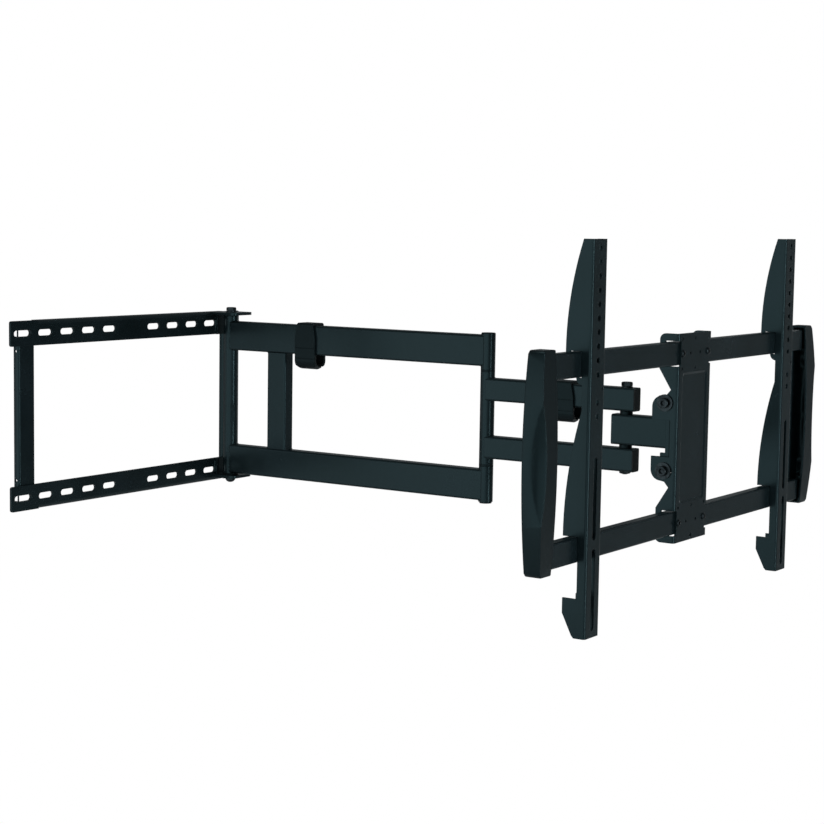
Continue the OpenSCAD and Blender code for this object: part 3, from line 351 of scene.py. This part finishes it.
pivot_low, pivot_high = corners("wall_pivot_washers")
pivot = (pivot_low + pivot_high) / 2
elbow_low, elbow_high = corners("elbow_tube")
elbow = (elbow_low + elbow_high) / 2
strut_low, strut_high = corners("arm1_strut")
barrel_r, knuckle_r, bar_w = 11, (elbow_high.x - elbow_low.x) / 2, 20
arm_bead, weld_inset = 1.8, 3
seam_gap, bar_edge, barrel_gap, knuckle_gap, strut_edge = 0.5, 0.2, 0.3, 0.1, 0.4
towards_screen, towards_wall = (220, 320), (40, 140)
seam_y = pivot.y - math.sqrt(barrel_r ** 2 - (bar_w / 2) ** 2) - seam_gap

arm_welds = []
for bar in ("arm1_top_bar", "arm1_bottom_bar"):
    low, high = corners(bar)
    for x in (low.x + bar_edge, high.x - bar_edge):
        arm_welds += weld_line((x, seam_y, low.z + weld_inset), (x, seam_y, high.z - weld_inset),
                               arm_bead)
    for z in (low.z + bar_edge, high.z - bar_edge):
        arm_welds += weld_round((pivot.x, pivot.y, z), barrel_r + barrel_gap, *towards_screen,
                                arm_bead)
        arm_welds += weld_round((elbow.x, elbow.y, z), knuckle_r + knuckle_gap, *towards_wall,
                                arm_bead)
for z in (strut_low.z + strut_edge, strut_high.z - strut_edge):
    for y in (strut_low.y, strut_high.y):
        arm_welds += weld_line((strut_low.x + weld_inset, y, z), (strut_high.x - weld_inset, y, z))
add_piece(weld_beads(arm_welds), "long_arm_welds", "long_arm", steel)

# ---- Elbow ----
# The short arm's tube turns between the two knuckles on a ground steel pin with flanged nylon bushes.
# Snap-in nylon caps hide the pin's ends.

coat(["elbow_pin"], zinc)
coat(["elbow_caps", "elbow_bushes"], nylon)
coat(["elbow_tube"], steel)

# ---- Short arm ----
# Two smaller rectangular tubes, coped and welded to the elbow tube, closed at their far ends by
# push-in nylon plugs. The head turns between them on an M8 bolt with a flanged head.

coat(["arm2_top_bar", "arm2_bottom_bar"], steel)
coat(["arm2_end_plugs"], nylon)

short_welds = []
for bar in ("arm2_top_bar", "arm2_bottom_bar"):
    low, high = corners(bar)
    for z in (low.z + bar_edge, high.z - bar_edge):
        short_welds += weld_round((elbow.x, elbow.y, z), knuckle_r + knuckle_gap, *towards_screen,
                                  arm_bead)
add_piece(weld_beads(short_welds), "short_arm_welds", "short_arm", steel)

low, high = corners("head_pivot_bolt")
nut_low, nut_high = corners("head_pivot_nut")
axis = Matrix.Translation(((low.x + high.x) / 2, (low.y + high.y) / 2, 0))
shank_r, flange_r, flange_t, nut_flats = 4, 7.9, 1.6, 13
# The head seats as far above the middle of the arms as its nut does below.
seat = -nut_high.z
flange_top = seat + flange_t
bolt = bmesh.new()
hex_bolt(bolt, low.z, flange_top, high.z, threaded=16)
turned(bolt, [(shank_r, seat), (flange_r, seat), (flange_r, flange_top - 1.0),
              (7.2, flange_top - 0.2), (6.4, flange_top + 0.5), (shank_r, flange_top + 0.5)], ring=True)
bmesh.ops.transform(bolt, matrix=axis, verts=bolt.verts)
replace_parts(add_piece(bolt, "head_bolt", "short_arm", zinc), "head_pivot_bolt")
nut = bmesh.new()
turned(nut, [(shank_r, nut_high.z), (6.2, nut_high.z), (7.5, nut_high.z - 0.4),
             (7.5, nut_low.z + 0.7), (6.2, nut_low.z), (4.6, nut_low.z),
             (shank_r, nut_low.z + 0.4)], ring=True)
cut_hexagon(nut, nut_flats)
bmesh.ops.transform(nut, matrix=axis, verts=nut.verts)
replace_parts(add_piece(nut, "head_thin_nut", "short_arm", zinc), "head_pivot_nut")

# ---- Cable clips ----
# Sprung nylon clips pushed over the arms, each with a soft-edged trough below the bar for the cables.
# They are moulded in one piece with two thin crease lines down each side where they flex.

coat(["cable_clip_arm1", "cable_clip_arm2"], nylon)

# ---- Swivel head ----
# A short tube turns on the head bolt, with flanged nylon bushes, and is welded to a folded steel yoke.
# Four M8 socket screws in weld nuts clamp the yoke's ears to the tilting channel through washers.

coat(["swivel_tube", "tilt_yoke"], steel)
coat(["head_bushes"], nylon)
coat(["tilt_washers", "tilt_weld_nuts"], zinc)

tube_low, tube_high = corners("swivel_tube")
tube_gap, tube_rise = 0.3, 0.4
seam_y = tube_low.y + tube_rise
yoke_welds = []
for z in (tube_low.z - tube_gap, tube_high.z + tube_gap):
    yoke_welds += weld_line((tube_low.x + weld_inset, seam_y, z), (tube_high.x - weld_inset, seam_y, z))
for x in (tube_low.x - tube_gap, tube_high.x + tube_gap):
    yoke_welds += weld_line((x, seam_y, tube_low.z + weld_inset), (x, seam_y, tube_high.z - weld_inset))
add_piece(weld_beads(yoke_welds), "yoke_welds", "swivel_head", steel)


def only_verts(geom):
    """The vertices among the new geometry that an operator gives back."""
    return [v for v in geom if isinstance(v, bmesh.types.BMVert)]


bolts_low, bolts_high = corners("tilt_bolts")
washers_low, washers_high = corners("tilt_washers")
head_r, head_h = 6.5, bolts_high.x - washers_high.x
tip, threaded = -27.0, 14
key_flats, key_depth = 6, 3
socket = bmesh.new()
turned(socket, [(0, tip), (3.2, tip)] + thread(shank_r, tip + 0.6, tip + threaded)
       + [(shank_r, 0), (head_r - 0.2, 0), (head_r, 0.2), (head_r, head_h - 0.7),
          (head_r - 0.6, head_h), (4.9, head_h)])
bmesh.ops.create_circle(socket, segments=6, radius=key_flats / math.sqrt(3),
                        matrix=Matrix.Translation((0, 0, head_h - 0.3)))
bmesh.ops.bridge_loops(socket, edges=[e for e in socket.edges if e.is_boundary or e.is_wire])
hexagon = [e for e in socket.edges if e.is_boundary]
walls = bmesh.ops.extrude_edge_only(socket, edges=hexagon)["geom"]
bmesh.ops.translate(socket, vec=(0, 0, -key_depth), verts=only_verts(walls))
bmesh.ops.holes_fill(socket, edges=[e for e in socket.edges if e.is_boundary], sides=0)
bolt_y = (bolts_low.y + bolts_high.y) / 2
places = [Matrix.Translation((x, bolt_y, z)) @ Matrix.Rotation(turn, 4, "Y")
          for z in (bolts_high.z - head_r, bolts_low.z + head_r)
          for x, turn in ((washers_high.x, math.pi / 2), (washers_low.x, -math.pi / 2))]
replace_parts(add_piece(copies(socket, places), "tilt_socket_screws", "swivel_head",
                      zinc), "tilt_bolts")

# ---- Television plate ----
# A folded and pressed steel channel with arc slots in its sides carries two rectangular rails, each
# held by two pan-head screws. Everything but the screws is powder coated.

coat(["centre_channel", "tv_rail_upper", "tv_rail_lower"], steel)

screws_low, screws_high = corners("rail_screws")
channel_low, _ = corners("centre_channel")
head_r, head_h = 4.5, channel_low.y - screws_low.y
tip = -8.8
cross_half, cross_depth, cross_taper = 2.1, 1.7, 0.62
screw = bmesh.new()
turned(screw, [(0, tip), (2.4, tip)] + thread(3, tip + 0.4, -1, pitch=1.0)
       + [(3, 0), (4.4, 0), (head_r, 0.15), (4.45, 0.9), (4.1, 1.6), (3.5, 2.1), (2.75, head_h)])
cross = bmesh.ops.create_grid(screw, x_segments=3, y_segments=3, size=cross_half,
                              matrix=Matrix.Translation((0, 0, head_h)))
cells = list({f for v in cross["verts"] for f in v.link_faces})
# Without its four corner cells the grid is a cross. It is sunk and narrowed, its old top goes, and
# the head's rim closes on it.
corner_cells = [f for f in cells if abs(f.calc_center_median().x * f.calc_center_median().y) > 0.5]
bmesh.ops.delete(screw, geom=corner_cells, context="FACES")
cells = [f for f in cells if f.is_valid]
sunk = only_verts(bmesh.ops.extrude_face_region(screw, geom=cells)["geom"])
bmesh.ops.translate(screw, vec=(0, 0, -cross_depth), verts=sunk)
bmesh.ops.scale(screw, vec=(cross_taper, cross_taper, 1), verts=sunk)
bmesh.ops.delete(screw, geom=[f for f in cells if f.is_valid], context="FACES")
bmesh.ops.bridge_loops(screw, edges=[e for e in screw.edges if e.is_boundary])
places = [Matrix.Translation((x, channel_low.y, z)) @ Matrix.Rotation(math.pi / 2, 4, "X")
          @ Matrix.Rotation(spin, 4, "Z")
          for x, z, spin in ((screws_low.x + head_r, screws_high.z - head_r, 0.4),
                             (screws_high.x - head_r, screws_high.z - head_r, 1.1),
                             (screws_low.x + head_r, screws_low.z + head_r, 0.8),
                             (screws_high.x - head_r, screws_low.z + head_r, 0.1))]
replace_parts(add_piece(copies(screw, places), "rail_pan_screws", "tv_plate",
                      zinc), "rail_screws")

# ---- End caps ----
# Tall caps moulded in black ABS plug both rails' ends at once. They bow outwards and carry a
# long scooped facet. Each is a copy of its CAD solid with a small round on the edges of its two ends.


def moulded_abs():
    """Black ABS from a spark-eroded mould: satin, with a fine even grain and slightly rounded edges."""
    material, tree, shader, place = new_material("moulded_abs")
    # Real spark-eroded grain is some tenths of a millimetre. It is drawn as coarse as it needs to show.
    grain_mm, drift_mm = 0.9, 60
    drift = add_node(tree, "TexNoise", {"Scale": per_metre(drift_mm), "Detail": 2.0},
                     {"Vector": (place, "Object")})
    tone = add_node(tree, "ValToRGB", links={"Fac": (drift, "Fac")})
    tone.color_ramp.elements[0].color = linear("#0a1113")
    tone.color_ramp.elements[1].color = linear("#10191c")
    tree.links.new(tone.outputs["Color"], shader.inputs["Base Color"])
    grain = add_node(tree, "TexVoronoi", {"Scale": per_metre(grain_mm)}, {"Vector": (place, "Object")})
    edge = add_node(tree, "Bevel", {"Radius": 2.4 * MM}, samples=4)
    bump = add_node(tree, "Bump", {"Strength": 0.25, "Distance": 0.03 * MM},
                    {"Height": (grain, "Distance"), "Normal": (edge, "Normal")})
    tree.links.new(bump.outputs["Normal"], shader.inputs["Normal"])
    shader.inputs["Roughness"].default_value = 0.28
    shader.inputs["IOR"].default_value = 1.54
    shader.inputs["Specular IOR Level"].default_value = 0.32
    shader.inputs["Specular Tint"].default_value = linear("#a6d6e0")
    return material


def soften_ends(node, radius, depth=4):
    """A copy of a CAD node in millimetres, made whole, with a round on the sharp edges of its ends."""
    bm = bmesh.new()
    bm.from_mesh(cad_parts[node].data)
    bmesh.ops.scale(bm, verts=bm.verts, vec=(1 / MM, 1 / MM, 1 / MM))
    bmesh.ops.remove_doubles(bm, verts=bm.verts, dist=0.005)
    bmesh.ops.dissolve_limit(bm, angle_limit=math.radians(0.03), verts=bm.verts, edges=bm.edges)
    low_z = min(v.co.z for v in bm.verts) + depth
    high_z = max(v.co.z for v in bm.verts) - depth
    sharp = [e for e in bm.edges
             if e.is_manifold and e.is_convex and e.calc_face_angle() > math.radians(28)
             and (all(v.co.z > high_z for v in e.verts) or all(v.co.z < low_z for v in e.verts))]
    bmesh.ops.bevel(bm, geom=sharp, offset=radius, segments=3, profile=0.5, affect="EDGES",
                    material=-1, clamp_overlap=False)
    return bm


abs_plastic = moulded_abs()
end_round = 1.4
for side in ("left", "right"):
    cap = add_piece(soften_ends("end_cap_" + side, end_round), "moulded_cap_" + side, "tv_plate",
                    abs_plastic)
    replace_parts(cap, "end_cap_" + side)

# ---- Television brackets ----
# Two folded uprights hook over the rails and slide along them. Each is cut from one sheet, punched
# with a row of round holes and long slots for the television's screws, and powder coated.

coat(["vesa_bracket_left", "vesa_bracket_right"], steel)

# ---- Studio ----
# A pale floor well below the hanging mount, a white surround, and six soft lamps: a wide one far to
# the left, one on the viewer's side, one behind, a narrow strip in front, one to the right, one above.


def background_share(tree, glossy_share=0.04):
    """How much of the plain white background a ray sees: all of it from the camera or through glass,
    and a small share in a mirror, because a white surround would turn the black coat grey."""
    rays = add_node(tree, "LightPath")
    mirrored = add_node(tree, "Math", {1: glossy_share}, {0: (rays, "Is Glossy Ray")},
                        operation="MULTIPLY")
    bent = add_node(tree, "Math", links={0: (mirrored, "Value"), 1: (rays, "Is Transmission Ray")},
                    operation="MAXIMUM")
    return add_node(tree, "Math", links={0: (bent, "Value"), 1: (rays, "Is Camera Ray")},
                    operation="MAXIMUM")


floor_z = -0.75
sheet = bmesh.new()
bmesh.ops.create_grid(sheet, x_segments=1, y_segments=1, size=9.0)
bmesh.ops.translate(sheet, verts=sheet.verts, vec=(0, 0, floor_z))
floor_mesh = bpy.data.meshes.new("floor")
sheet.to_mesh(floor_mesh)
sheet.free()
floor = bpy.data.objects.new("floor", floor_mesh)
bpy.context.scene.collection.objects.link(floor)

pale, tree, shader, _ = new_material("matt_white_paper")
shader.inputs["Base Color"].default_value = linear("#f4f4f4")
shader.inputs["Roughness"].default_value = 0.9
glow = add_node(tree, "Emission", {"Strength": 1.0})
both = add_node(tree, "MixShader", links={"Fac": (background_share(tree), "Value"), 1: (shader, "BSDF"),
                                          2: (glow, "Emission")})
tree.links.new(both.outputs["Shader"], tree.nodes["Material Output"].inputs["Surface"])
floor_mesh.materials.append(pale)

world = bpy.data.worlds.new("studio")
bpy.context.scene.world = world
world.use_nodes = True
tree = world.node_tree
tree.nodes.clear()
white = add_node(tree, "Background", {"Color": (1, 1, 1, 1), "Strength": 1.0})
fill = add_node(tree, "Background", {"Color": linear("#d9e6ea"), "Strength": 0.15})
both = add_node(tree, "MixShader", links={"Fac": (background_share(tree), "Value"),
                                          1: (fill, "Background"), 2: (white, "Background")})
add_node(tree, "OutputWorld", links={"Surface": (both, "Shader")})


def softbox(name, place, aim, width, height, power):
    """A rectangular area lamp at a place, turned to face a point."""
    lamp = bpy.data.lights.new(name, "AREA")
    lamp.shape = "RECTANGLE"
    lamp.size = width
    lamp.size_y = height
    lamp.energy = power
    holder = bpy.data.objects.new(name, lamp)
    holder.location = place
    holder.rotation_euler = (Vector(aim) - Vector(place)).to_track_quat("-Z", "Y").to_euler()
    bpy.context.scene.collection.objects.link(holder)


middle = (0.15, -0.45, 0.0)
softbox("left_lamp", (-2.6, 0.1, -0.1), middle, 3.6, 1.6, 20)
softbox("near_lamp", (-2.7, -2.4, 0.2), middle, 1.8, 1.6, 7)
softbox("back_lamp", (-1.3, 2.4, 0.1), middle, 1.4, 1.8, 4)
softbox("strip_lamp", (-0.25, -3.4, 0.2), middle, 0.5, 2.4, 31)
softbox("right_lamp", (3.0, -0.7, 0.2), middle, 0.8, 2.0, 3.5)
softbox("top_lamp", (-1.2, -0.3, 2.4), middle, 1.2, 1.2, 10)

# ---- Camera ----
# Placed in front of the mount and to its left, a little above it and tipped down, with a long lens.
# A small shift of the lens sets the mount in its place in the frame.

camera_at = Vector((-2.0272, -1.8562, 0.269))
heading, dip, roll = math.radians(56.28), math.radians(-5.525), math.radians(0.89)
lens = bpy.data.cameras.new("camera")
lens.sensor_width = 36
lens.lens = 82.98
lens.shift_x, lens.shift_y = -0.0070, -0.0092
lens.clip_end = 50
camera = bpy.data.objects.new("camera", lens)
camera.matrix_world = (Matrix.Translation(camera_at) @ Matrix.Rotation(-heading, 4, "Z")
                       @ Matrix.Rotation(math.pi / 2 + dip, 4, "X") @ Matrix.Rotation(roll, 4, "Z"))
bpy.context.scene.collection.objects.link(camera)
bpy.context.scene.camera = camera
bpy.context.scene.view_settings.view_transform = "Standard"
